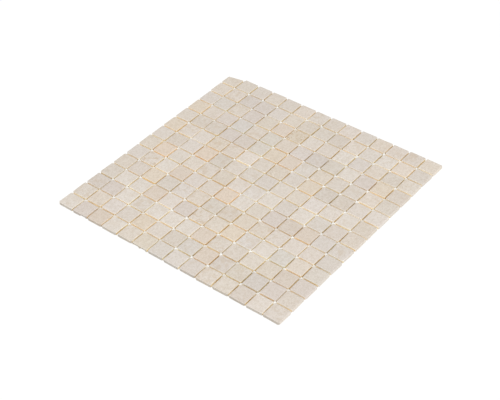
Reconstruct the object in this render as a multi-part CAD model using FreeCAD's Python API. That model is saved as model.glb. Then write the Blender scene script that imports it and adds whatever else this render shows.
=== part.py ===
"""Mosaic tile sheet: square marble chips laid in rows on a glass-fibre backing mesh.

The sheet lies flat with the chips' honed faces up. The origin is under the middle of the sheet, on the
plane that the backing mesh rests on. X runs along a row of chips, Y from the first row to the last.
"""
import FreeCAD, Part
import math
import os
import random

# Chips, in millimetres
TILE = 20.0               # side of one square chip
TILE_THICKNESS = 3.6      # sawn thickness of the marble
JOINT = 1.8               # open joint between two chips
TILES_PER_ROW = 14        # chips along X
ROWS = 14                 # rows along Y
ARRIS = 0.3               # eased edge round the honed face
CORNER_WEAR = 0.9         # how much of an upright corner has worn off, on average
WEAR_SPREAD = 0.5         # how far a single corner differs from that, as a share of it

# Laying: the chips are placed by hand, so each drifts a little inside its joint
DRIFT_SHARE = 0.18        # largest sideways drift, as a share of the joint
TURN_SHARE = 0.12         # how far a turned chip's corner may swing, as a share of the joint
LAYING_SEED = 14

# Flakes broken off the lower front edge of the first row, shell-shaped as in any stone
FLAKES = {2: [0.25], 6: [-0.26, 0.24]}   # chip in the row: middle of each flake, as a share of the chip
FLAKE_HEIGHT = 3.0        # how far up the front face a flake reaches
FLAKE_DEPTH = 2.4         # how far under the chip it reaches
FLAKE_RADIUS = 5.5        # roundness of the break

# The back corner chip has lost its outer edge on a slant
BREAK_OUTER = 6.5         # stone lost on the sheet's outer side
BREAK_INNER = 2.5         # and on the side towards the next chip

# Backing mesh: flat glass-fibre strands, the crosswise ones glued on top of the lengthwise ones
STRAND_WIDTH = 0.8
STRAND_THICKNESS = 0.2
MESH_PITCH = 5.0          # from one strand to the next, nearly: whole spaces fill the mesh
MESH_INSET = 1.2          # how far the mesh stops inside the outer chips

PITCH = TILE + JOINT
LENGTH = TILES_PER_ROW * TILE + (TILES_PER_ROW - 1) * JOINT
WIDTH = ROWS * TILE + (ROWS - 1) * JOINT
BED = 2 * STRAND_THICKNESS            # height at which the chips lie on the mesh
DRIFT = DRIFT_SHARE * JOINT
TURN = math.degrees(math.atan(TURN_SHARE * JOINT / (TILE / 2)))
UP = FreeCAD.Vector(0, 0, 1)


def prism(outline, bottom, height):
    """An upright solid over a closed outline of (x, y) points."""
    points = [FreeCAD.Vector(x, y, bottom) for x, y in outline]
    return Part.Face(Part.makePolygon(points + points[:1])).extrude(UP * height)


def chip(chance):
    """One square chip with its middle on the origin and its back on Z = 0, each corner worn its own way."""
    half = TILE / 2
    outline = []
    for turn in range(4):
        worn = CORNER_WEAR * chance.uniform(1 - WEAR_SPREAD, 1 + WEAR_SPREAD)
        for x, y in ((half - worn, -half), (half, worn - half)):
            for quarter in range(turn):
                x, y = -y, x
            outline.append((x, y))
    block = prism(outline, 0, TILE_THICKNESS)
    top_edges = [edge for edge in block.Edges if edge.BoundBox.ZMin > TILE_THICKNESS / 2]
    return block.makeChamfer(ARRIS, top_edges)


def flaked(stone, place):
    """The chip with a shell-shaped flake broken off the lower edge of its front face."""
    front = -TILE / 2
    middle = FreeCAD.Vector(place * TILE, front + FLAKE_DEPTH / 2, FLAKE_HEIGHT / 2)
    chord = math.hypot(FLAKE_DEPTH, FLAKE_HEIGHT)
    inward = FreeCAD.Vector(0, FLAKE_HEIGHT, FLAKE_DEPTH) / chord
    centre = middle - inward * math.sqrt(FLAKE_RADIUS ** 2 - (chord / 2) ** 2)
    return stone.cut(Part.makeSphere(FLAKE_RADIUS, centre))


def broken(stone):
    """The chip with its back edge broken away on a slant."""
    half = TILE / 2
    beyond = half + TILE
    slope = (BREAK_OUTER - BREAK_INNER) / TILE
    outer = half - BREAK_OUTER - slope * TILE
    inner = half - BREAK_INNER + slope * TILE
    waste = prism([(-beyond, outer), (beyond, inner), (beyond, beyond), (-beyond, beyond)], -TILE, 3 * TILE)
    return stone.cut(waste)


def chip_at(row, column, chance):
    """The chip of this row and column, counted from 1, laid with its own small drift and turn."""
    stone = chip(chance)
    if row == 1:
        for place in FLAKES.get(column, []):
            stone = flaked(stone, place)
    if row == ROWS and column == 1:
        stone = broken(stone)
    stone.rotate(FreeCAD.Vector(0, 0, 0), UP, chance.uniform(-TURN, TURN))
    across = (column - 1) * PITCH + TILE / 2 - LENGTH / 2 + chance.uniform(-DRIFT, DRIFT)
    along = (row - 1) * PITCH + TILE / 2 - WIDTH / 2 + chance.uniform(-DRIFT, DRIFT)
    stone.translate(FreeCAD.Vector(across, along, BED))
    return stone


def tile_row(row, chance):
    """All chips of one row, as separate solids that don't touch."""
    return Part.makeCompound([chip_at(row, column, chance) for column in range(1, TILES_PER_ROW + 1)])


def strand_places(span):
    """Where the strands lie across a span: the outer two flush with its ends, the rest evenly between."""
    spaces = round((span - STRAND_WIDTH) / MESH_PITCH)
    step = (span - STRAND_WIDTH) / spaces
    return [number * step - (span - STRAND_WIDTH) / 2 for number in range(spaces + 1)]


def mesh_strands(span, length, bottom):
    """Parallel strands along X, spread over a span of Y."""
    bars = []
    for y in strand_places(span):
        corner = FreeCAD.Vector(-length / 2, y - STRAND_WIDTH / 2, bottom)
        bars.append(Part.makeBox(length, STRAND_WIDTH, STRAND_THICKNESS, corner))
    return Part.makeCompound(bars)


def main():
    os.makedirs("parts", exist_ok=True)
    chance = random.Random(LAYING_SEED)
    nodes = {f"tile_row_{row:02d}": tile_row(row, chance) for row in range(1, ROWS + 1)}
    mesh_length = LENGTH - 2 * MESH_INSET
    mesh_width = WIDTH - 2 * MESH_INSET
    nodes["mesh_strands_crosswise"] = mesh_strands(mesh_width, mesh_length, STRAND_THICKNESS)
    lengthwise = mesh_strands(mesh_length, mesh_width, 0)
    lengthwise.rotate(FreeCAD.Vector(0, 0, 0), UP, 90)
    nodes["mesh_strands_lengthwise"] = lengthwise
    for name, shape in nodes.items():
        shape.exportStep(f"parts/{name}.step")
        print(name, len(shape.Solids), "solids", round(shape.Volume, 1), "mm3", shape.isValid())


main()
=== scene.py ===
# %% [markdown]
# A mosaic tile sheet: fourteen rows of fourteen small marble chips, glued by their backs to a net of
# glass-fibre strands. The sheet lies flat with its honed faces up.
# The CAD model holds every chip and every strand at its true size and place. This lesson gives them
# their finish: worn edges, marble that differs from chip to chip, a woven net and the glue that holds them.

# %% Load the frame
import math
import random

import bpy
from mathutils import Matrix, Vector


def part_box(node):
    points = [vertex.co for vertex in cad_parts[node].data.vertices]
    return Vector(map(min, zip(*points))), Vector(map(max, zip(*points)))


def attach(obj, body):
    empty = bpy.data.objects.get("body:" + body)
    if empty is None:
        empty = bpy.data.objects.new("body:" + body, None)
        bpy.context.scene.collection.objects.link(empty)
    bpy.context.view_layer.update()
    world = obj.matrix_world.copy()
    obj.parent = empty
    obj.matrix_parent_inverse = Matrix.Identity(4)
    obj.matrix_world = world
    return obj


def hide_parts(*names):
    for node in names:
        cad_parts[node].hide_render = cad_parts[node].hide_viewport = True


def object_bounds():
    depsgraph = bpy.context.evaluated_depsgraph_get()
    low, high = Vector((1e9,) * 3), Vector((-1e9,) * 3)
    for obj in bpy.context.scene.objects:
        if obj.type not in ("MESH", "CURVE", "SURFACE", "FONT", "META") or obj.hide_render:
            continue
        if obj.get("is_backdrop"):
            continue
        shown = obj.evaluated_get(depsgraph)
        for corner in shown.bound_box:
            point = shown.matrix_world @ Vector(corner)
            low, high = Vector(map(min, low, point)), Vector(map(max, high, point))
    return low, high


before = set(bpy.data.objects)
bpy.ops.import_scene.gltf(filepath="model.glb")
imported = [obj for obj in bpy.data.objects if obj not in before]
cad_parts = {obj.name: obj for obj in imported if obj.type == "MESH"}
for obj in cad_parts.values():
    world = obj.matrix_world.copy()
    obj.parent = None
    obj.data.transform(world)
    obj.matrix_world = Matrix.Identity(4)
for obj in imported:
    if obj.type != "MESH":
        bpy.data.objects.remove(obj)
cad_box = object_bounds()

MM = 0.001                            # the scene is in metres, and sizes are named in millimetres
ROWS = sorted(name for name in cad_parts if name.startswith("tile_row_"))
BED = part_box(ROWS[0])[0].z            # the height at which the chips lie on the net
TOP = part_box(ROWS[0])[1].z            # the honed faces
print(len(ROWS), "rows; chips from", round(BED / MM, 2), "to", round(TOP / MM, 2), "mm")

# %% [markdown]
# ## The camera
# The photograph looks down on one corner of the sheet from about forty degrees, through a long lens, so
# the rows run nearly parallel. A camera can be aimed by eye, but here the grid of the joints was measured
# in the picture, and the angles and the distance follow from it.

# %% Place the camera
IMAGE_WIDTH = 500                     # pixels
FOCAL_LENGTH = 1198.5                 # pixels
SENSOR_WIDTH = 36                     # millimetres, as on a full-frame camera
CAMERA_AZIMUTH = math.radians(39.388)     # to the right of straight in front
CAMERA_ELEVATION = math.radians(40.595)
CAMERA_ROLL = math.radians(-1.789)
CAMERA_DISTANCE = 1.308               # metres
CAMERA_AIM = Vector((14.98 * MM, -24.19 * MM, TOP))
QUARTER_TURN = math.pi / 2

bpy.ops.object.camera_add()
camera = bpy.context.object
camera.name = "camera"
camera.data.sensor_width = SENSOR_WIDTH
camera.data.lens = FOCAL_LENGTH / IMAGE_WIDTH * SENSOR_WIDTH
sideways = math.cos(CAMERA_ELEVATION)
towards_camera = Vector((math.sin(CAMERA_AZIMUTH) * sideways, -math.cos(CAMERA_AZIMUTH) * sideways,
                         math.sin(CAMERA_ELEVATION)))
camera.matrix_world = (Matrix.Translation(CAMERA_AIM + towards_camera * CAMERA_DISTANCE)
                       @ Matrix.Rotation(CAMERA_AZIMUTH, 4, "Z")
                       @ Matrix.Rotation(QUARTER_TURN - CAMERA_ELEVATION, 4, "X")
                       @ Matrix.Rotation(CAMERA_ROLL, 4, "Z"))
bpy.context.scene.camera = camera
print("lens", round(camera.data.lens, 1), "mm")

# %% [markdown]
# ## The light
# The photograph has the flat, white light of a studio: a large soft lamp a little to the right of the
# camera, and a bright room all round. The joints say where the lamp stood: those that run from front to
# back have a light line along their left side, where the worn edge of a chip faces it. A small lamp would
# give the narrow joints shadows with hard edges, so this one is two metres wide.

# %% Hang the lamp
LAMP_AZIMUTH = math.radians(-40)      # from the sheet's right side, minus towards its front
LAMP_ELEVATION = math.radians(50)
LAMP_DISTANCE = 4.0                   # metres
LAMP_SIZE = 2.0                       # metres
LAMP_POWER = 80                       # watts

sideways = math.cos(LAMP_ELEVATION)
lamp_place = LAMP_DISTANCE * Vector((math.cos(LAMP_AZIMUTH) * sideways, math.sin(LAMP_AZIMUTH) * sideways,
                                     math.sin(LAMP_ELEVATION)))
bpy.ops.object.light_add(type="AREA", location=lamp_place,
                         rotation=lamp_place.to_track_quat("Z", "Y").to_euler())
lamp = bpy.context.object
lamp.name = "soft_lamp"
lamp.data.size = LAMP_SIZE
lamp.data.energy = LAMP_POWER
print("lamp at", [round(value, 2) for value in lamp_place], "m")

# %% Light the room
ROOM_LIGHT = 0.62                     # what the room gives the object, where 1 is white

bpy.context.scene.view_settings.view_transform = "Standard"
room = bpy.data.worlds.new("room")
room.use_nodes = True
bpy.context.scene.world = room
room_nodes = room.node_tree.nodes
room_links = room.node_tree.links
background = room_nodes["Background"]
background.inputs["Color"].default_value = (1, 1, 1, 1)


def seen_directly(nodes, links):
    """1 for what the camera sees, also in gloss or through glass, and 0 for light that falls on things."""
    path = nodes.new("ShaderNodeLightPath")
    total = path.outputs["Is Camera Ray"]
    for ray in ("Is Glossy Ray", "Is Transmission Ray"):
        larger = nodes.new("ShaderNodeMath")
        larger.operation = "MAXIMUM"
        links.new(total, larger.inputs[0])
        links.new(path.outputs[ray], larger.inputs[1])
        total = larger.outputs[0]
    return total


strength = room_nodes.new("ShaderNodeMapRange")
strength.inputs["To Min"].default_value = ROOM_LIGHT
strength.inputs["To Max"].default_value = 1
room_links.new(seen_directly(room_nodes, room_links), strength.inputs["Value"])
room_links.new(strength.outputs[0], background.inputs["Strength"])
print("room light", ROOM_LIGHT)

# %% [markdown]
# ## The floor
# A white sheet of paper lies under the tiles. More light would turn it white in the picture, but would
# bleach the marble too. So it lights the tiles as an ordinary matt white, and only to the camera it gives
# off a little light of its own. That makes a white background which still takes the sheet's shadow.

# %% Lay the floor
FLOOR_SIZE = 12                       # metres
FLOOR_DEPTH = 0.1 * MM                # below the net, so the two never share a plane
PAPER = (0.9, 0.9, 0.9, 1)            # what lights the tiles
PAPER_SHADED = (0.11, 0.11, 0.11, 1)  # what the camera sees of it: a part that takes the shadow
PAPER_GLOW = 0.92                     # and a part that glows, where 1 is white

bpy.ops.mesh.primitive_plane_add(size=FLOOR_SIZE, location=(0, 0, -FLOOR_DEPTH))
floor = bpy.context.object
floor.name = "pale_floor"

paper = bpy.data.materials.new("white_paper")
paper.use_nodes = True
paper_nodes = paper.node_tree.nodes
paper_links = paper.node_tree.links
paper_nodes.remove(paper_nodes["Principled BSDF"])
matt = paper_nodes.new("ShaderNodeBsdfDiffuse")
matt.inputs["Color"].default_value = PAPER
shaded = paper_nodes.new("ShaderNodeBsdfDiffuse")
shaded.inputs["Color"].default_value = PAPER_SHADED
glow = paper_nodes.new("ShaderNodeEmission")
glow.inputs["Strength"].default_value = PAPER_GLOW
seen = paper_nodes.new("ShaderNodeAddShader")
chosen = paper_nodes.new("ShaderNodeMixShader")
paper_links.new(shaded.outputs[0], seen.inputs[0])
paper_links.new(glow.outputs[0], seen.inputs[1])
paper_links.new(seen_directly(paper_nodes, paper_links), chosen.inputs[0])
paper_links.new(matt.outputs[0], chosen.inputs[1])
paper_links.new(seen.outputs[0], chosen.inputs[2])
paper_links.new(chosen.outputs[0], paper_nodes["Material Output"].inputs["Surface"])
floor.data.materials.append(paper)
floor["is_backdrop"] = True
print("floor", FLOOR_SIZE, "m wide")

# %% [markdown]
# ## Helpers for the finishes
# Every finish below is a small web of shader nodes. Adding a node, setting it and wiring it takes the
# same few steps each time, so a few helpers do that, and the cells for the marble can be read as a recipe.

# %% Helpers that add and wire nodes
def new_finish(name, roughness=None):
    """A new material and its shader, with its roughness set where it is the same all over."""
    finish = bpy.data.materials.new(name)
    finish.use_nodes = True
    shader = finish.node_tree.nodes["Principled BSDF"]
    if roughness is not None:
        shader.inputs["Roughness"].default_value = roughness
    return finish, shader


def wire(shader, socket, value):
    """Wires a value or a colour into a socket of the shader."""
    shader.id_data.links.new(value, shader.inputs[socket])


def add_node(finish, kind, inputs, **settings):
    """A shader node with its settings, whose inputs are numbers, colours or other nodes' outputs."""
    node = finish.node_tree.nodes.new("ShaderNode" + kind)
    for name, value in settings.items():
        setattr(node, name, value)
    for socket, value in inputs.items():
        if isinstance(value, bpy.types.NodeSocket):
            finish.node_tree.links.new(value, node.inputs[socket])
        else:
            node.inputs[socket].default_value = value
    return node


# %% Helpers for sums and places
def calculate(finish, operation, *values):
    """The result of one sum with numbers or other nodes' outputs."""
    return add_node(finish, "Math", dict(enumerate(values)), operation=operation).outputs[0]


def split(finish, vector):
    """The X, Y and Z of a vector."""
    return add_node(finish, "SeparateXYZ", {0: vector}).outputs


def object_place(finish):
    """The place of a point on the finished object."""
    return add_node(finish, "TexCoord", {}).outputs["Object"]


# %% Helpers for patterns and relief
def mixed(finish, share, first, second, blend="MIX"):
    """The colour between two colours, by a share from 0 to 1, or the two multiplied."""
    node = add_node(finish, "Mix", {0: share, 6: first, 7: second}, data_type="RGBA", blend_type=blend)
    return node.outputs[2]


def band(finish, value, low, high, start=0.0, end=1.0):
    """A value that goes smoothly from start to end while another goes from low to high."""
    inputs = {"Value": value, "From Min": low, "From Max": high, "To Min": start, "To Max": end}
    return add_node(finish, "MapRange", inputs, interpolation_type="SMOOTHSTEP").outputs[0]


def noise(finish, place, size, detail=3.0, distortion=0.0, stretch=(1, 1, 1)):
    """Cloudy noise with lumps about this size, in millimetres, drawn out along an axis by stretch."""
    if stretch != (1, 1, 1):
        shrink = [1 / value for value in stretch]
        place = add_node(finish, "Mapping", {"Vector": place, "Scale": shrink}).outputs[0]
    inputs = {"Vector": place, "Scale": 1 / (size * MM), "Detail": detail, "Distortion": distortion}
    return add_node(finish, "TexNoise", inputs).outputs[0]


def relief(finish, shader, height, depth, below=None):
    """Bumps the surface by a height from 0 to 1 that stands for this depth, in millimetres."""
    inputs = {"Height": height, "Distance": depth * MM}
    if below is not None:
        inputs["Normal"] = below
    bump = add_node(finish, "Bump", inputs).outputs[0]
    wire(shader, "Normal", bump)
    return bump


# %% [markdown]
# ## Marble
# All chips were cut from slabs of one pale cream marble, so they share one stone: soft clouds of cream and
# beige, a finer mottle, and crystals that only a close look shows. Each chip shows another spot of the
# slab. A texture could be painted for each chip, but it is simpler to let every chip carry its own place
# in the slab as an attribute of its mesh, and to read one endless stone there. Other attributes carry how
# its tone differs from the others, how much cloud, vein and blotch it shows, and where each point lies
# from the middle of its chip.

# %% Clouds, mottle and crystals
CREAM = (0.80, 0.731, 0.66, 1)
BEIGE = (0.652, 0.572, 0.482, 1)
CLOUD_SIZE = 9                        # millimetres, as the other sizes of a noise
CLOUD_SHARES = (0.1, 0.8)             # the share of dark stone in the lightest and in the darkest cloud
NO_CLOUD = (0.5, 0.5, 0.5, 1)         # the middle height of the noise, all over
MOTTLE_SIZE = 2.8
MOTTLE_BAND = (0.34, 0.68)            # the colour turns between these heights of the noise
CRYSTAL_SIZE = 1.0
CRYSTAL_BAND = (0.44, 0.72)


def clouded(finish, place, cloud_share, light, dark):
    """Light and dark stone in clouds, mottle and crystals, and the clouds and crystals by themselves."""
    clouds = noise(finish, place, CLOUD_SIZE, detail=4, distortion=0.5)
    cloudy = mixed(finish, cloud_share, NO_CLOUD, clouds)
    colour = mixed(finish, band(finish, cloudy, 0, 1, *CLOUD_SHARES), light, dark)
    mottle = noise(finish, place, MOTTLE_SIZE, detail=6)
    colour = mixed(finish, band(finish, mottle, *MOTTLE_BAND), colour, dark)
    crystals = noise(finish, place, CRYSTAL_SIZE, detail=4)
    colour = mixed(finish, band(finish, crystals, *CRYSTAL_BAND), colour, light)
    return colour, clouds, crystals


# %% Veins and blotches
VEIN = (0.52, 0.36, 0.19, 1)
BLOTCH = (0.60, 0.47, 0.33, 1)
VEIN_SIZE = 13
VEIN_WIDTH = 0.022                    # there is a vein where the noise is this near to its middle height
BLOTCH_SIZE = 7
BLOTCH_BAND = (0.52, 0.62)


def veined(finish, place, vein_share, colour):
    """Thin brown veins over a colour."""
    path = noise(finish, place, VEIN_SIZE, detail=3, distortion=1.2)
    off_path = calculate(finish, "ABSOLUTE", calculate(finish, "SUBTRACT", path, 0.5))
    vein = band(finish, off_path, 0, VEIN_WIDTH, 1, 0)
    return mixed(finish, calculate(finish, "MULTIPLY", vein, vein_share), colour, VEIN)


def blotched(finish, place, blotch_share, colour):
    """Soft brown blotches over a colour."""
    blotch = band(finish, noise(finish, place, BLOTCH_SIZE, detail=3, distortion=0.4), *BLOTCH_BAND)
    return mixed(finish, calculate(finish, "MULTIPLY", blotch, blotch_share), colour, BLOTCH)


# %% The stone as a chip shows it
def carried(finish, name):
    """Something that each chip carries as an attribute of its mesh."""
    return add_node(finish, "Attribute", {}, attribute_name=name).outputs["Vector"]


def stone(finish, light=CREAM, dark=BEIGE):
    """The marble's colour at a point of its slab, in the tone of the chip, and its clouds and crystals."""
    place = carried(finish, "slab_place")
    cloud_share, vein_share, blotch_share = split(finish, carried(finish, "figure"))
    colour, clouds, crystals = clouded(finish, place, cloud_share, light, dark)
    colour = veined(finish, place, vein_share, colour)
    colour = blotched(finish, place, blotch_share, colour)
    return mixed(finish, 1, colour, carried(finish, "tint"), "MULTIPLY"), clouds, crystals


# %% [markdown]
# ## Honed, sawn and broken stone
# The face of a chip is honed: smooth to the hand, not polished, and it falls away a little towards its
# edges. The arris round it, the edge between face and side, is bruised, which makes stone paler, and its
# paler colour is also a painted highlight where the edge catches the lamp. The sides are sawn: chalky, with
# faint lines from the blade. In the joints they glow like honey, because light that has gone back and forth
# between two pale stones comes out warmer and deeper in colour, so there the tone of a chip counts twice.
# That glow is painted into their colour, with painted light near the face and painted shade deeper down.
# The joints that run from front to back are painted darker, as painted shade, than those that run from
# side to side, and each kind has its own finish. The outer sides have no neighbour and are painted a little
# paler than the faces, as painted light, and the front row's are painted darker, as painted shade, as the
# photograph shows. Where the stone broke, it is grainy like sugar.
# One finish with masks could do all this. Seven finishes, one for each surface, are easier to read and to
# tune.

# %% Honed face and bruised arris
# The arris colours are paler than the face: bruised stone, and also a painted highlight where the edge
# catches the lamp.
ARRIS_LIGHT = (0.87, 0.80, 0.73, 1)
ARRIS_DARK = (0.81, 0.73, 0.65, 1)
HONED_ROUGHNESS = (0.36, 0.5)
NOISE_RANGE = (0.3, 0.7)              # most of a noise lies between these heights
PORE_SIZE = 0.8                       # millimetres
PORE_BAND = (0.30, 0.42)
PORE_DEPTH = 0.05                     # millimetres, as the other depths of a relief
CRYSTAL_DEPTH = 0.012
RIM = (8.0 * MM, 9.8 * MM)            # a face falls away between these distances from its middle
RIM_DROP = 0.1


def honed_finish(name, light, dark):
    """Smooth stone with a few tiny pores."""
    finish, shader = new_finish(name)
    colour, clouds, crystals = stone(finish, light, dark)
    wire(shader, "Base Color", colour)
    wire(shader, "Roughness", band(finish, clouds, *NOISE_RANGE, *HONED_ROUGHNESS))
    pores = noise(finish, carried(finish, "slab_place"), PORE_SIZE)
    pits = relief(finish, shader, band(finish, pores, *PORE_BAND), PORE_DEPTH)
    grains = relief(finish, shader, crystals, CRYSTAL_DEPTH, below=pits)
    across = split(finish, carried(finish, "chip_place"))
    farthest = calculate(finish, "MAXIMUM", *(calculate(finish, "ABSOLUTE", across[axis]) for axis in "XY"))
    relief(finish, shader, band(finish, farthest, *RIM, 1, 0), RIM_DROP, below=grains)
    return finish


honed = honed_finish("honed_marble", CREAM, BEIGE)
# paler bruised stone, with a painted highlight on the arris
bruised_highlit = honed_finish("bruised_arris_painted_highlight", ARRIS_LIGHT, ARRIS_DARK)
print("made", honed.name, "and", bruised_highlit.name)

# %% Sawn sides
# A little paler than the faces' stone: painted light that keeps the outer sides as light as the faces.
SIDE_LIGHT = (0.83, 0.76, 0.68, 1)
SIDE_DARK = (0.75, 0.67, 0.58, 1)
# The front row's outer sides are painted darker: painted shade.
FRONT_SHADE_LIGHT = (0.60, 0.553, 0.484, 1)
FRONT_SHADE_DARK = (0.504, 0.44, 0.365, 1)
SAWN_ROUGHNESS = 0.8
SAWN_DEPTH = 0.03
SAW_LINE_SIZE = 0.25                  # from one line to the next
SAW_LINE_STRETCH = (30, 30, 1)        # the lines are level
CHALK_SIZE = 0.45


def sawn_finish(name):
    """Chalky stone with the faint level lines of the saw blade, still without its colour."""
    finish, shader = new_finish(name, SAWN_ROUGHNESS)
    place = carried(finish, "slab_place")
    lines = noise(finish, place, SAW_LINE_SIZE, detail=2, stretch=SAW_LINE_STRETCH)
    sawn = relief(finish, shader, lines, SAWN_DEPTH)
    relief(finish, shader, noise(finish, place, CHALK_SIZE, detail=2), SAWN_DEPTH, below=sawn)
    return finish, shader


side_wall, shader = sawn_finish("sawn_side")
wire(shader, "Base Color", stone(side_wall, SIDE_LIGHT, SIDE_DARK)[0])
# the front row's outer sides, in painted shade
shaded_front_wall, shader = sawn_finish("sawn_front_painted_shade")
wire(shader, "Base Color", stone(shaded_front_wall, FRONT_SHADE_LIGHT, FRONT_SHADE_DARK)[0])
print("made", side_wall.name, "and", shaded_front_wall.name)

# %% Sawn sides across a joint, with painted glow and shade
# Painted light: the upper part of a joint's walls is pale, as if lit, and deeper down it turns to a painted
# honey glow and painted shade.
JOINT_PAINTED_LIGHT = (1.0, 0.953, 0.855, 1)
# The joints that run from front to back get the darker colours, as painted shade; those that run from side
# to side get the lighter ones.
SHADED_JOINT_GLOW = ((0.86, 0.69, 0.39, 1), (0.66, 0.465, 0.21, 1))
LIT_JOINT_GLOW = ((0.955, 0.795, 0.505, 1), (0.88, 0.66, 0.36, 1))
PAINTED_SHADE_DEPTHS = (0.6 * MM, 2.0 * MM)   # the painted glow and shade begin, and are full, this far below the honed face
HONEY_SIZE = 14                       # millimetres
HONEY_BAND = (0.42, 0.58)


def painted_joint_finish(name, light, dark):
    """Sawn stone with painted light: pale near the face, then a painted honey glow and painted shade in the
    depth of a joint.
    """
    finish, shader = sawn_finish(name)
    lumps = noise(finish, carried(finish, "slab_place"), HONEY_SIZE, detail=2)
    honey = mixed(finish, band(finish, lumps, *HONEY_BAND), light, dark)
    height = split(finish, object_place(finish))["Z"]
    painted_lit_share = band(finish, height, TOP - PAINTED_SHADE_DEPTHS[1], TOP - PAINTED_SHADE_DEPTHS[0])
    # painted light near the face, over the painted glow and shade below
    colour = mixed(finish, painted_lit_share, honey, JOINT_PAINTED_LIGHT)
    for bounce in range(2):
        colour = mixed(finish, 1, colour, carried(finish, "tint"), "MULTIPLY")
    wire(shader, "Base Color", colour)
    return finish


# painted shade in the joints that run from front to back, a lighter painted glow in those that run from
# side to side
shaded_joint_wall = painted_joint_finish("joint_wall_in_painted_shade", *SHADED_JOINT_GLOW)
lit_joint_wall = painted_joint_finish("joint_wall_in_painted_glow", *LIT_JOINT_GLOW)
print("made", shaded_joint_wall.name, "and", lit_joint_wall.name)

# %% Broken stone
BROKEN_ROUGHNESS = 0.7
SUGAR_SIZE = 0.6                      # millimetres
SUGAR_BAND = (0.35, 0.65)
SUGAR_WHITENESS = 0.35                # how far a grain of sugar turns to cream
SUGAR_DEPTH = 0.25

broken, shader = new_finish("broken_marble", BROKEN_ROUGHNESS)
sugar = noise(broken, carried(broken, "slab_place"), SUGAR_SIZE, detail=4)
sparkle = band(broken, sugar, *SUGAR_BAND, 0, SUGAR_WHITENESS)
wire(shader, "Base Color", mixed(broken, sparkle, stone(broken)[0], CREAM))
relief(broken, shader, sugar, SUGAR_DEPTH)

FINISHES = (honed, bruised_highlit, shaded_joint_wall, lit_joint_wall, side_wall, shaded_front_wall, broken)
HONED, BRUISED_HIGHLIT, SHADED_JOINT_WALL, LIT_JOINT_WALL, SIDE_WALL, SHADED_FRONT_WALL, BROKEN = range(len(FINISHES))
print("made", broken.name, "and so", len(FINISHES), "finishes for marble")

# %% [markdown]
# ## The chips: from the frame to worn stone
# A CAD row has the right chips in the right places, each with its own small drift and turn. Its mesh is
# loose triangles, so a copy is merged first, and flat faces become whole again. Chips could also be
# modelled anew from cubes, but then their places would have to be fitted. A copy needs no fitting.

# %% Selecting and editing in code
def select_only(*pieces):
    """Deselects everything and selects these pieces, the first one active."""
    bpy.ops.object.select_all(action="DESELECT")
    for piece in pieces:
        piece.select_set(True)
    bpy.context.view_layer.objects.active = pieces[0]


def choose(piece, kind, wanted):
    """Selects the vertices, edges or faces of a piece for which wanted() is true, and counts them."""
    bpy.ops.object.mode_set(mode="EDIT")
    bpy.ops.mesh.select_mode(type=kind)
    bpy.ops.mesh.select_all(action="DESELECT")
    bpy.ops.object.mode_set(mode="OBJECT")
    mesh = piece.data
    parts = {"VERT": mesh.vertices, "EDGE": mesh.edges, "FACE": mesh.polygons}[kind]
    flags = [bool(wanted(part)) for part in parts]
    parts.foreach_set("select", flags)
    return sum(flags)


def edit(*steps):
    """Runs edit-mode steps on the active piece."""
    bpy.ops.object.mode_set(mode="EDIT")
    for step in steps:
        step()
    bpy.ops.object.mode_set(mode="OBJECT")


def edit_all(*steps):
    """Runs edit-mode steps on the whole of the active piece."""
    edit(lambda: bpy.ops.mesh.select_all(action="SELECT"), *steps)


# %% Copy a row and make its faces whole
MERGE_DISTANCE = 0.001 * MM
FLAT_ANGLE = math.radians(0.5)        # triangles that differ by less make one flat face


def take_finishes(piece, everywhere):
    """Gives a piece the marble's finishes to choose from, and one of them all over."""
    piece.data.materials.clear()
    for finish in FINISHES:
        piece.data.materials.append(finish)
    for face in piece.data.polygons:
        face.material_index = everywhere


def chips_of(node_name):
    """A copy of one CAD row of chips, merged, with its own name and honed all over."""
    row = bpy.data.objects.new(node_name.replace("tile", "chips"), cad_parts[node_name].data.copy())
    bpy.context.scene.collection.objects.link(row)
    select_only(row)
    bpy.ops.mesh.customdata_custom_splitnormals_clear()
    edit_all(lambda: bpy.ops.mesh.remove_doubles(threshold=MERGE_DISTANCE),
             lambda: bpy.ops.mesh.dissolve_limited(angle_limit=FLAT_ANGLE))
    take_finishes(row, HONED)
    return row


# %% [markdown]
# ## Worn arrises
# The maker eased the arris of every chip, and tumbling left it a little uneven, which is what makes a real
# chip look soft. Sculpting could do that, but not two hundred times. Instead each long arris is cut into
# three, its points are moved a few hundredths of a millimetre at random, and the honed face is pressed flat
# again.

# %% Wear the arrises
ARRIS_WEAR = 0.07 * MM
WEAR_EVENNESS = 0.3                   # 0 lets the moves differ most in length, and 1 makes them alike
ARRIS_HEIGHT = 0.5 * MM               # everything this near to the face belongs to the arris
LONG_ARRIS = 10 * MM                  # shorter edges are at the worn corners
FACE_DEPTH = 0.12 * MM                # what is still this near to the face is pressed flat again


def on_long_arris(mesh, edge):
    """True for a long edge that runs along a chip's arris."""
    first, last = (mesh.vertices[number].co for number in edge.vertices)
    return min(first.z, last.z) > TOP - ARRIS_HEIGHT and (first - last).length > LONG_ARRIS


def wear_arrises(row, seed):
    """Makes the arrises of a row of chips a little uneven and keeps the honed faces flat."""
    choose(row, "EDGE", lambda edge: on_long_arris(row.data, edge))
    edit(lambda: bpy.ops.mesh.subdivide(number_cuts=2))
    choose(row, "VERT", lambda vertex: vertex.co.z > TOP - ARRIS_HEIGHT)
    edit(lambda: bpy.ops.transform.vertex_random(offset=ARRIS_WEAR, uniform=WEAR_EVENNESS, seed=seed))
    choose(row, "VERT", lambda vertex: vertex.co.z > TOP - FACE_DEPTH)
    edit(lambda: bpy.ops.transform.resize(value=(1, 1, 0), center_override=(0, 0, TOP)))


# %% [markdown]
# ## Nicks
# Here and there a knock has taken a small shell out of an arris or a corner. A nick could be pulled out of
# the mesh by hand, but almost two hundred are quicker to cut: small rough balls are set along the edges,
# and a Boolean takes away what they cover.

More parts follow.
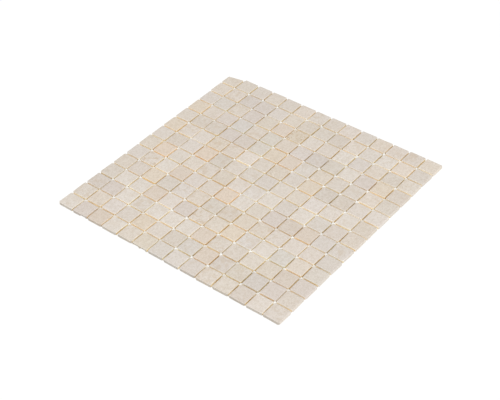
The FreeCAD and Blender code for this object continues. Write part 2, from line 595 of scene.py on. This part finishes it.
# %% Find places for the nicks
CHIPS_IN_ROW = len(ROWS)              # the sheet is square, with as many chips in a row as there are rows
CHIP = 20 * MM
JOINT = 1.8 * MM
NICKED_EDGES = 6                      # in a row; the other chips lose a bit of a corner
NICK_RADII = (0.7, 1.0)               # millimetres
EDGE_REACH = 8                        # an edge is nicked at most this far from its middle, in millimetres
EDGE_OUT = 0.35                       # a ball lies this far outside an edge, as a share of its radius,
EDGE_UP = 0.45                        # and this far above the face
CORNER_INSET = 0.45 * MM              # the worn corners lie this far inside the sharp ones
CORNER_OUT = 0.45                     # a ball lies this far outside these, as a share of its radius,
CORNER_DROPS = (-0.2, 1.2)            # and this far below the face, in millimetres


def chip_middle(number):
    """Where the middle of a chip or a row lies, along X or Y, by its number counted from 0."""
    return (number - (CHIPS_IN_ROW - 1) / 2) * (CHIP + JOINT)


def nick_places(row, chance):
    """A place and a radius for one ball at every chip of a row, small enough to spare its neighbours."""
    middle_y = (row.bound_box[0][1] + row.bound_box[6][1]) / 2
    places = []
    for count, column in enumerate(chance.sample(range(CHIPS_IN_ROW), CHIPS_IN_ROW)):
        middle = Vector((chip_middle(column), middle_y, TOP))
        radius = chance.uniform(*NICK_RADII) * MM
        if count < NICKED_EDGES:
            along = chance.uniform(-EDGE_REACH, EDGE_REACH) * MM
            offset = Vector((CHIP / 2 + EDGE_OUT * radius, along, EDGE_UP * radius))
        else:
            corner = CHIP / 2 - CORNER_INSET + CORNER_OUT * radius
            offset = Vector((corner, corner, -chance.uniform(*CORNER_DROPS) * MM))
        side = Matrix.Rotation(chance.randrange(4) * QUARTER_TURN, 3, "Z")
        places.append((middle + side @ offset, radius))
    return places


# %% Cut the nicks of a row
BALL_ROUGHNESS = 0.1 * MM


def take_away(piece, cutter):
    """Cuts one mesh out of another, leaves broken stone there, and removes the cutter."""
    take_finishes(cutter, BROKEN)
    cut = piece.modifiers.new("cut", "BOOLEAN")
    cut.operation = "DIFFERENCE"
    cut.solver = "EXACT"
    cut.object = cutter
    select_only(piece)
    bpy.ops.object.modifier_apply(modifier=cut.name)
    bpy.data.objects.remove(cutter)


def cut_nicks(row, seed):
    """Knocks small shells out of the edges and corners of a row of chips."""
    balls = []
    for place, radius in nick_places(row, random.Random(seed)):
        bpy.ops.mesh.primitive_ico_sphere_add(subdivisions=2, radius=radius, location=place)
        balls.append(bpy.context.object)
    select_only(*balls)
    bpy.ops.object.join()
    edit_all(lambda: bpy.ops.transform.vertex_random(offset=BALL_ROUGHNESS, seed=seed))
    take_away(row, bpy.context.object)


# %% [markdown]
# ## The broken corner chip and the flakes
# The chip in the back left corner has lost its outer edge, and two chips of the first row have flakes
# broken off their lower front edge. The CAD model has these breaks as smooth faces. Real stone breaks
# along its crystals, so the flakes, which have many small faces, are roughened point by point. The slanting
# break is one large face. It could be cut up first, but a rough plate that shaves it is quicker.

# %% Roughen the flakes
FLAKE_ROUGHNESS = 0.14 * MM
FLAKE_DOWN = (0.2, 0.97)              # how far a flake's faces point down, where 1 is straight down


def roughen_flakes(row, seed):
    """Gives the flakes of the first row their broken finish and a rough surface."""
    flakes = choose(row, "FACE", lambda face: FLAKE_DOWN[0] < -face.normal.z < FLAKE_DOWN[1])
    inner = set()
    rim = set()
    for face in row.data.polygons:
        (inner if face.select else rim).update(face.vertices)
        if face.select:
            face.material_index = BROKEN
    choose(row, "VERT", lambda vertex: vertex.index in inner - rim)
    edit(lambda: bpy.ops.transform.vertex_random(offset=FLAKE_ROUGHNESS, seed=seed))
    return flakes


# %% Edit-mode steps that later pieces share
def extruded(step):
    """An edit-mode step that extrudes what is selected by this much."""
    return lambda: bpy.ops.mesh.extrude_region_move(TRANSFORM_OT_translate={"value": step})


def face_outwards():
    """An edit-mode step that turns the faces that are selected outwards."""
    bpy.ops.mesh.normals_make_consistent(inside=False)


# %% Shave the slanting break
BREAK_SHAVE = 0.25 * MM               # how deep the rough plate goes into the CAD model's flat break
PLATE_ROUGHNESS = 0.3 * MM
PLATE_SIZE = (26 * MM, 7 * MM)        # longer and higher than the break
PLATE_CELLS = (22, 6)
PLATE_THICKNESS = 12 * MM
UPRIGHT = 0.05                        # an upright face points up or down less than this
SLANT = (0.1, 0.5)                    # how far the break faces along the row, where 1 is fully
LARGE_FACE = 20 * MM ** 2


def on_break(face):
    """True for a large upright face that stands on a slant to the rows, as only the break does."""
    slanting = SLANT[0] < abs(face.normal.x) < SLANT[1]
    return slanting and abs(face.normal.z) < UPRIGHT and face.area > LARGE_FACE


def shave_break(row, seed):
    """Roughens the slanting break of the corner chip with a rough plate."""
    face = max(filter(on_break, row.data.polygons), key=lambda face: face.area)
    area = face.area
    outward = face.normal.copy()
    turn = math.atan2(outward.y, outward.x) + QUARTER_TURN
    bpy.ops.mesh.primitive_grid_add(x_subdivisions=PLATE_CELLS[0], y_subdivisions=PLATE_CELLS[1], size=1,
                                    location=face.center - outward * BREAK_SHAVE,
                                    rotation=(QUARTER_TURN, 0, turn))
    plate = bpy.context.object
    plate.scale = (*PLATE_SIZE, 1)
    bpy.ops.object.transform_apply(location=False, rotation=True, scale=True)
    edit_all(lambda: bpy.ops.transform.vertex_random(offset=PLATE_ROUGHNESS, seed=seed),
             extruded(outward * PLATE_THICKNESS))
    edit_all(face_outwards)
    take_away(row, plate)
    return area


# %% [markdown]
# ## What each chip carries
# The chips of a row are one mesh, but their edges don't touch, so each chip is an island. Every island
# gets its own spot in the slab, its tone and its figure. Most tones are drawn at random, within the small
# range that the photograph shows. The chips that stand out there, such as the two white ones near the
# front left corner or the one with a brown vein at the back, are named by column and row. Each chip could
# have a material of its own instead, but two hundred of them would be hard to tune together.

# %% The chips that stand out
KINDS = {                             # tone, blue share, green share, cloud, vein, blotch
    "pale": (1.07, 1.015, 1.0, 1.3, 0, 0.15),
    "honey": (0.985, 0.940, 1.0115, 0.8, 0, 0.1),
    "rosy": (0.97, 0.930, 1.001, 0.6, 0, 0.0),
    "beige": (0.955, 0.96, 1.0, 0.8, 0, 0.1),
    "grey": (0.957, 1.012, 0.99, 0.6, 0, 0.0),
    "veined": (0.95, 0.94, 1.015, 1.0, 0.9, 0.3),
    "blotched": (1.03, 1.0, 1.0, 1.0, 0, 0.7),
}
PLACES = {                            # column and row, counted from the front left corner
    "pale": [(2, 4), (3, 4), (11, 4), (1, 1), (4, 1), (13, 8), (8, 6), (7, 3), (10, 12), (11, 11), (3, 6),
             (9, 7), (11, 7), (12, 13), (6, 3), (5, 3)],
    "honey": [(9, 4), (10, 9), (5, 2), (1, 11), (7, 10), (1, 9), (3, 5), (13, 11)],
    "rosy": [(2, 7), (7, 6), (4, 8)],
    "beige": [(8, 3), (4, 4), (8, 10), (12, 6), (6, 12), (4, 6), (9, 2), (3, 1)],
    "grey": [(4, 12), (4, 10), (12, 11), (2, 3), (14, 3), (6, 4), (10, 6), (2, 1), (13, 2)],
    "veined": [(7, 12)],
    "blotched": [(2, 6), (7, 4)],
}
kind_of = {place: kind for kind, places in PLACES.items() for place in places}
print(len(kind_of), "chips stand out, of", len(KINDS), "kinds")

# %% The character of a chip
TONE_SPREAD = 0.030                   # how far a chip's tone strays, as a share
BLUE_SPREAD = 0.017                   # how far it strays between warm and cool
BLUE_OF_TONE = 0.1                    # pale chips are a little cooler
GREEN_SPREAD = 0.003
GREEN_OF_BLUE = -0.22                 # and warm ones a little greener
CLOUD_RANGE = (0.5, 1.2)
VEINS = (0, 0, 0, 0, 0.12, 0.25)      # most chips have none
BLOTCHES = (0, 0, 0, 0.1, 0.2, 0.35)
KIND_SPREAD = 0.008                   # how far the tone strays within a kind


def character(column, row_number, chance):
    """The tint and the figure of the chip in this column and row."""
    tone = chance.gauss(1, TONE_SPREAD)
    blue = chance.gauss(1, BLUE_SPREAD) + BLUE_OF_TONE * (tone - 1)
    green = chance.gauss(1, GREEN_SPREAD) + GREEN_OF_BLUE * (blue - 1)
    cloud = chance.uniform(*CLOUD_RANGE)
    vein = chance.choice(VEINS)
    blotch = chance.choice(BLOTCHES)
    if (column, row_number) in kind_of:
        tone, blue, green, cloud, vein, blotch = KINDS[kind_of[column, row_number]]
        tone += chance.gauss(0, KIND_SPREAD)
    red = 3 - blue - green
    return (tone * red, tone * green, tone * blue), (cloud, vein, blotch)


# %% Find the chips of a row
def islands(mesh):
    """The vertex numbers of each separate chip, from left to right."""
    leader = list(range(len(mesh.vertices)))

    def find(number):
        while leader[number] != number:
            leader[number] = leader[leader[number]]
            number = leader[number]
        return number

    for edge in mesh.edges:
        first, last = (find(number) for number in edge.vertices)
        leader[first] = last
    groups = {}
    for number in range(len(mesh.vertices)):
        groups.setdefault(find(number), []).append(number)
    return sorted(groups.values(), key=lambda group: sum(mesh.vertices[n].co.x for n in group) / len(group))


# %% Give every chip its tone and its spot in the slab
SEED_STEP = 100                       # a chip's seed is this times its row, plus its column
SLAB_REACH = 1                        # metres, along each axis, from the slab's middle


def characterise(row, row_number):
    """Writes what each chip of a row carries into attributes of its mesh."""
    mesh = row.data
    for name in ("chip_place", "slab_place", "tint", "figure"):
        mesh.attributes.new(name, "FLOAT_VECTOR", "POINT")
    carry = {attribute.name: attribute.data for attribute in mesh.attributes}
    chips = islands(mesh)
    for column, chip in enumerate(chips, 1):
        chance = random.Random(SEED_STEP * row_number + column)
        tint, figure = character(column, row_number, chance)
        reach = [[mesh.vertices[number].co[axis] for number in chip] for axis in range(3)]
        centre = Vector([(min(values) + max(values)) / 2 for values in reach])
        turn = Matrix.Rotation(chance.randrange(4) * QUARTER_TURN, 3, "Z")
        spot = Vector([chance.uniform(-SLAB_REACH, SLAB_REACH) for axis in range(3)])
        for number in chip:
            place = mesh.vertices[number].co - centre
            carry["chip_place"][number].vector = place
            carry["slab_place"][number].vector = turn @ place + spot
            carry["tint"][number].vector = tint
            carry["figure"][number].vector = figure
    return len(chips)


# %% Sort the faces by finish
HONED_UP = 0.97                       # a face that points up more than this is honed,
ARRIS_UP = 0.2                        # one that points up more than this is part of an arris,
BACK_UP = -0.5                        # and one that points up less than this is part of a back
OUTER_BAND = 1.2 * MM                 # walls this near to the sheet's outline have no neighbour
OUTER = (cad_box[1][0] - cad_box[0][0]) / 2 - OUTER_BAND


def set_finishes(row):
    """Honed faces, bruised arrises with a painted highlight, sawn walls and backs, joint walls with painted
    glow and shade, and a front in painted shade; breaks keep their own finish.
    """
    for face in row.data.polygons:
        if face.material_index == BROKEN:
            continue
        if face.normal.z > HONED_UP:
            face.material_index = HONED
        elif face.normal.z > ARRIS_UP:
            face.material_index = BRUISED_HIGHLIT
        # the front row's outer sides take painted shade
        elif face.center.y < -OUTER:
            face.material_index = SHADED_FRONT_WALL
        elif face.normal.z < BACK_UP or max(abs(face.center.x), face.center.y) > OUTER:
            face.material_index = SIDE_WALL
        else:
            # walls that face along X stand in the joints that run from front to back, which take the darker
            # painted shade
            face.material_index = SHADED_JOINT_WALL if abs(face.normal.x) > abs(face.normal.y) else LIT_JOINT_WALL


# %% Keep to the CAD model's box, and shade smooth
SMOOTH_ANGLE = math.radians(60)       # sharper edges stay sharp
FLAT_FACE_WEIGHT = 60                 # over 50, large faces count for more


def keep_inside(piece, low, high):
    """Pulls back any point that wear has moved out of the CAD model's box."""
    for vertex in piece.data.vertices:
        vertex.co = [min(max(value, least), most) for value, least, most in zip(vertex.co, low, high)]


def smooth(piece):
    """Smooth shading across the softer edges, with the large faces kept flat."""
    select_only(piece)
    bpy.ops.object.shade_smooth_by_angle(angle=SMOOTH_ANGLE, keep_sharp_edges=False)
    weighted = piece.modifiers.new("weighted", "WEIGHTED_NORMAL")
    weighted.keep_sharp = True
    weighted.weight = FLAT_FACE_WEIGHT
    bpy.ops.object.modifier_apply(modifier=weighted.name)


# %% Finish all rows
FLAKE_SEED = 5
BREAK_SEED = 8
NICK_SEED = 40                        # each row adds its number

for row_number, node_name in enumerate(ROWS, 1):
    row = chips_of(node_name)
    if row_number == 1:
        print("flake faces", roughen_flakes(row, FLAKE_SEED))
    wear_arrises(row, row_number)
    if row_number == len(ROWS):
        print("break area", round(shave_break(row, BREAK_SEED) / MM ** 2, 1), "mm2")
    cut_nicks(row, NICK_SEED + row_number)
    keep_inside(row, *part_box(node_name))
    set_finishes(row)
    smooth(row)
    chips = characterise(row, row_number)
    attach(row, "root")
    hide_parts(node_name)
    print(row.name, chips, "chips,", len(row.data.polygons), "faces")

# %% [markdown]
# ## The net
# The backing is an open weave of flat glass-fibre strands, five millimetres apart. Each strand goes over
# one neighbour and under the next. In the CAD model the two layers simply lie on each other. A picture of
# a weave would do from above, but the underside shows the net all over, so it is woven. One bay of a strand
# is drawn through a low wave, and arrays repeat it along the strand and across the net.

# %% Measure the net
STRAND_WIDTH = 0.8 * MM
NET_PITCH = 5 * MM                    # nearly: whole spaces fill the net
net_low, net_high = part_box("mesh_strands_crosswise")
NET_LENGTH = net_high.x - net_low.x
SPACES = round((NET_LENGTH - STRAND_WIDTH) / NET_PITCH)
SPACE = (NET_LENGTH - STRAND_WIDTH) / SPACES
STRAND_THICKNESS = net_high.z - net_low.z
NET_MIDDLE = net_high.z / 2
print("strands", SPACES + 1, "each way, every", round(SPACE / MM, 3), "mm")


# %% Repeat a piece in line
def repeat(piece, count, step):
    """Copies a piece in line and merges the copies where they meet."""
    array = piece.modifiers.new("repeat", "ARRAY")
    array.use_relative_offset = False
    array.use_constant_offset = True
    array.constant_offset_displace = step
    array.count = count
    array.use_merge_vertices = True
    array.merge_threshold = MERGE_DISTANCE
    select_only(piece)
    bpy.ops.object.modifier_apply(modifier=array.name)


# %% Draw one strand
HEXAGON_HEIGHT = math.sin(math.radians(60))   # of a six-sided ring that is 1 wide


def strand(first_line, first_swing):
    """One strand along X, on the line of this number, starting above (1) or below (-1) the net's middle."""
    swing = first_swing * STRAND_THICKNESS / 2
    start = Vector((-SPACES / 2 * SPACE, (first_line - SPACES / 2) * SPACE, NET_MIDDLE + swing))
    bpy.ops.mesh.primitive_circle_add(vertices=6, radius=STRAND_WIDTH / 2, location=start,
                                      rotation=(0, QUARTER_TURN, 0))
    piece = bpy.context.object
    bpy.ops.object.transform_apply(location=True, rotation=True, scale=True)
    flat = STRAND_THICKNESS / (STRAND_WIDTH * HEXAGON_HEIGHT)
    away = extruded((SPACE / 2, 0, -swing))
    back = extruded((SPACE / 2, 0, swing))
    edit_all(lambda: bpy.ops.transform.resize(value=(1, 1, flat), center_override=start),
             away, away, back, back)
    repeat(piece, SPACES // 2, (2 * SPACE, 0, 0))
    for side in (-1, 1):
        end = side * SPACES / 2 * SPACE
        choose(piece, "VERT", lambda vertex: abs(vertex.co.x - end) < STRAND_WIDTH / 2)
        edit(extruded((side * STRAND_WIDTH / 2, 0, 0)),
             lambda: bpy.ops.mesh.edge_face_add())
    return piece


# %% Lay all strands of one direction
def strands(name, phase):
    """All strands of one direction, every second one in step, laid along X."""
    even = strand(0, phase)
    repeat(even, SPACES // 2 + 1, (0, 2 * SPACE, 0))
    odd = strand(1, -phase)
    repeat(odd, SPACES // 2, (0, 2 * SPACE, 0))
    select_only(even, odd)
    bpy.ops.object.join()
    even.name = name
    edit_all(face_outwards)
    return even


# %% [markdown]
# ## Glass fibre under dried glue
# A strand is a flat bundle of white glass threads, stiff with dried white glue. The threads could be
# modelled one by one, but they are finer than a hair. They run along the strand, so the pattern is noise
# drawn out along it, once for each direction of the net.

# %% The strands' finish
STRAND_WHITE = (0.84, 0.82, 0.77, 1)
STRAND_SHADE = (0.70, 0.68, 0.62, 1)
STRAND_ROUGHNESS = (0.4, 0.65)
THREAD_SIZE = 0.12                    # millimetres
THREAD_STRETCH = 40
THREAD_SHADE = 0.6                    # the share of shade between the threads
THREAD_DEPTH = 0.05
STAIN_SIZE = 14
STAIN_BAND = (0.4, 0.7)
STAIN_SHADE = 0.35
STAIN_ROUGHNESS_BAND = (0.35, 0.65)


def glass_fibre(name, stretch):
    """White threads, drawn out along the strand, under a thin coat of glue."""
    finish, shader = new_finish(name)
    place = object_place(finish)
    threads = noise(finish, place, THREAD_SIZE, detail=2, stretch=stretch)
    stains = noise(finish, place, STAIN_SIZE)
    between = band(finish, threads, *NOISE_RANGE, THREAD_SHADE, 0)
    colour = mixed(finish, between, STRAND_WHITE, STRAND_SHADE)
    colour = mixed(finish, band(finish, stains, *STAIN_BAND, 0, STAIN_SHADE), colour, STRAND_SHADE)
    wire(shader, "Base Color", colour)
    wire(shader, "Roughness", band(finish, stains, *STAIN_ROUGHNESS_BAND, *STRAND_ROUGHNESS))
    relief(finish, shader, threads, THREAD_DEPTH)
    return finish


# %% Weave the net
def in_mm(place):
    """A place in millimetres, for printing."""
    return [round(value / MM, 2) for value in place]


for node_name, phase, stretch in (("mesh_strands_crosswise", 1, (THREAD_STRETCH, 1, 1)),
                                  ("mesh_strands_lengthwise", -1, (1, THREAD_STRETCH, 1))):
    direction = node_name.split("_")[-1]
    net = strands("net_strands_" + direction, phase)
    if direction == "lengthwise":
        edit_all(lambda: bpy.ops.transform.rotate(value=QUARTER_TURN, orient_axis="Z",
                                                  center_override=(0, 0, 0)))
    net.data.materials.append(glass_fibre("glass_fibre_" + direction, stretch))
    select_only(net)
    bpy.ops.object.shade_smooth()
    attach(net, "root")
    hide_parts(node_name)
    print(net.name, len(net.data.polygons), "faces")
    print("from", in_mm(net.bound_box[0]), "to", in_mm(net.bound_box[6]), "mm")

# %% [markdown]
# ## Glue
# The chips hold to the net by dabs of white glue, which set as low rounded pads round the strands and
# show only from below. Where four chips meet, some of it came up between their corners: those are the
# white points that the photograph shows at the crossings of the joints. Metaballs would flow together as
# glue does, but there are more than five hundred drops, and they have to stay light. So both kinds are
# half balls, copied to each place with a turn and a size of their own, and a last random push makes no two
# alike.

# %% The glue's finish
GLUE_WHITE = (0.94, 0.94, 0.92, 1)
GLUE_SHADE = (0.87, 0.86, 0.83, 1)
GLUE_ROUGHNESS = (0.28, 0.5)
FILM_SIZE = 3                         # millimetres
LUMP_SIZE = 1.2
LUMP_DEPTH = 0.08

glue, shader = new_finish("dried_glue")
film = noise(glue, object_place(glue), FILM_SIZE)
wire(shader, "Base Color", mixed(glue, band(glue, film, *NOISE_RANGE), GLUE_WHITE, GLUE_SHADE))
wire(shader, "Roughness", band(glue, film, *NOISE_RANGE, *GLUE_ROUGHNESS))
relief(glue, shader, noise(glue, object_place(glue), LUMP_SIZE, detail=2), LUMP_DEPTH)
print("made", glue.name)


# %% One drop of glue
DROP_SEED = 3


def half_drop(radius, height, unevenness, up):
    """An uneven half ball with its flat side on Z = 0, rounded upwards (1) or downwards (-1)."""
    bpy.ops.mesh.primitive_uv_sphere_add(segments=12, ring_count=6, radius=radius)
    piece = bpy.context.object
    piece.data.materials.append(glue)
    choose(piece, "VERT", lambda vertex: up * vertex.co.z < -radius / 10)     # past the equator
    edit(lambda: bpy.ops.mesh.delete(type="VERT"),
         lambda: bpy.ops.mesh.select_all(action="SELECT"),
         lambda: bpy.ops.transform.vertex_random(offset=unevenness, seed=DROP_SEED),
         lambda: bpy.ops.transform.resize(value=(1, 1, height / radius), center_override=(0, 0, 0)),
         lambda: bpy.ops.mesh.select_all(action="DESELECT"),
         lambda: bpy.ops.mesh.select_non_manifold(),
         lambda: bpy.ops.transform.resize(value=(1, 1, 0), center_override=(0, 0, 0)),
         lambda: bpy.ops.mesh.edge_face_add())
    return piece


# %% Drops of glue, spread by copying
SPREAD_SEED = 6
DROP_SMOOTH_ANGLE = math.radians(50)  # so the rim of a drop stays sharp


def place_of(x, y, turn, sizes):
    """The matrix that puts a drop on the net, turned about the vertical and scaled along its three axes."""
    return Matrix.Translation((x, y, BED)) @ Matrix.Rotation(turn, 4, "Z") @ Matrix.Diagonal((*sizes, 1))


def spread(drop, places, name, push):
    """Copies a drop to each place, joins the copies and makes them all a little different."""
    copies = []
    for place in places:
        copy = bpy.data.objects.new(name, drop.data.copy())
        bpy.context.scene.collection.objects.link(copy)
        copy.matrix_world = place
        copies.append(copy)
    bpy.data.objects.remove(drop)
    select_only(*copies)
    bpy.ops.object.join()
    bpy.ops.object.transform_apply(location=True, rotation=True, scale=True)
    edit_all(face_outwards,
             lambda: bpy.ops.transform.vertex_random(offset=push, seed=SPREAD_SEED))
    bpy.ops.object.shade_smooth_by_angle(angle=DROP_SMOOTH_ANGLE, keep_sharp_edges=False)
    return bpy.context.object


# %% Dabs between the chips and the net
DAB_RADIUS = 2.8 * MM
DAB_DEPTH = 0.3 * MM
DAB_ROWS = (-4 * MM, 4 * MM)          # two dabs under each chip, in front of its middle and behind it
DAB_DRIFT = (5, 1)                    # how far a dab strays along X and Y, in millimetres
DAB_SIZES = (0.6, 1.2)                # shares of the radius
DAB_NARROWS = (0.6, 1)                # its width as a share of its length
DAB_UNEVENNESS = 0.6 * MM             # of the one drop that is copied
DAB_PUSH = 0.03 * MM                  # how far the last push moves a point
DAB_RISE = 0.02 * MM                  # a dab rises at most this far above the chips' backs
FULL_TURN = 6.28                      # radians
GLUE_SEED = 77

chance = random.Random(GLUE_SEED)
dab_places = []
for row_number in range(CHIPS_IN_ROW):
    for column in range(CHIPS_IN_ROW):
        for away in DAB_ROWS:
            x = chip_middle(column) + chance.uniform(-DAB_DRIFT[0], DAB_DRIFT[0]) * MM
            y = chip_middle(row_number) + away + chance.uniform(-DAB_DRIFT[1], DAB_DRIFT[1]) * MM
            size = chance.uniform(*DAB_SIZES)
            sizes = (size, size * chance.uniform(*DAB_NARROWS), 1)
            dab_places.append(place_of(x, y, chance.uniform(0, FULL_TURN), sizes))
dab = half_drop(DAB_RADIUS, DAB_DEPTH, DAB_UNEVENNESS, -1)
glue_dabs = spread(dab, dab_places, "glue_dabs", DAB_PUSH)
keep_inside(glue_dabs, cad_box[0], (cad_box[1][0], cad_box[1][1], BED + DAB_RISE))
print(len(dab_places), "dabs")

# %% Glue that came up between the corners
PLUG_RADIUS = 2.5 * MM
PLUG_HEIGHTS = (2.0 * MM, 3.4 * MM)
PLUG_WIDTHS = (0.85, 1.1)             # shares of the radius
PLUG_DRIFT = 0.3                      # millimetres
PLUG_UNEVENNESS = 0.2 * MM
PLUG_PUSH = 0.2 * MM

plug_places = []
for row_number in range(1, CHIPS_IN_ROW):
    for column in range(1, CHIPS_IN_ROW):
        x = chip_middle(column - 0.5) + chance.uniform(-PLUG_DRIFT, PLUG_DRIFT) * MM
        y = chip_middle(row_number - 0.5) + chance.uniform(-PLUG_DRIFT, PLUG_DRIFT) * MM
        height = chance.uniform(*PLUG_HEIGHTS)
        width = chance.uniform(*PLUG_WIDTHS)
        sizes = (width, width, height / PLUG_RADIUS)
        plug_places.append(place_of(x, y, chance.uniform(0, FULL_TURN), sizes))
plug = half_drop(PLUG_RADIUS, PLUG_RADIUS, PLUG_UNEVENNESS, 1)
glue_plugs = spread(plug, plug_places, "glue_plugs", PLUG_PUSH)

for piece in (glue_dabs, glue_plugs):
    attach(piece, "root")
    print(piece.name, len(piece.data.polygons), "faces")

# %% [markdown]
# ## The sizes
# The finished sheet has to stay inside the CAD model's box. The two boxes could be compared here; they are
# printed side by side.

# %% Print the sizes
visual_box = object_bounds()
sizes = {"cad": [list(corner) for corner in cad_box], "visual": [list(corner) for corner in visual_box]}
print("CAD box", [in_mm(corner) for corner in cad_box], "mm")
print("visual box", [in_mm(corner) for corner in visual_box], "mm")
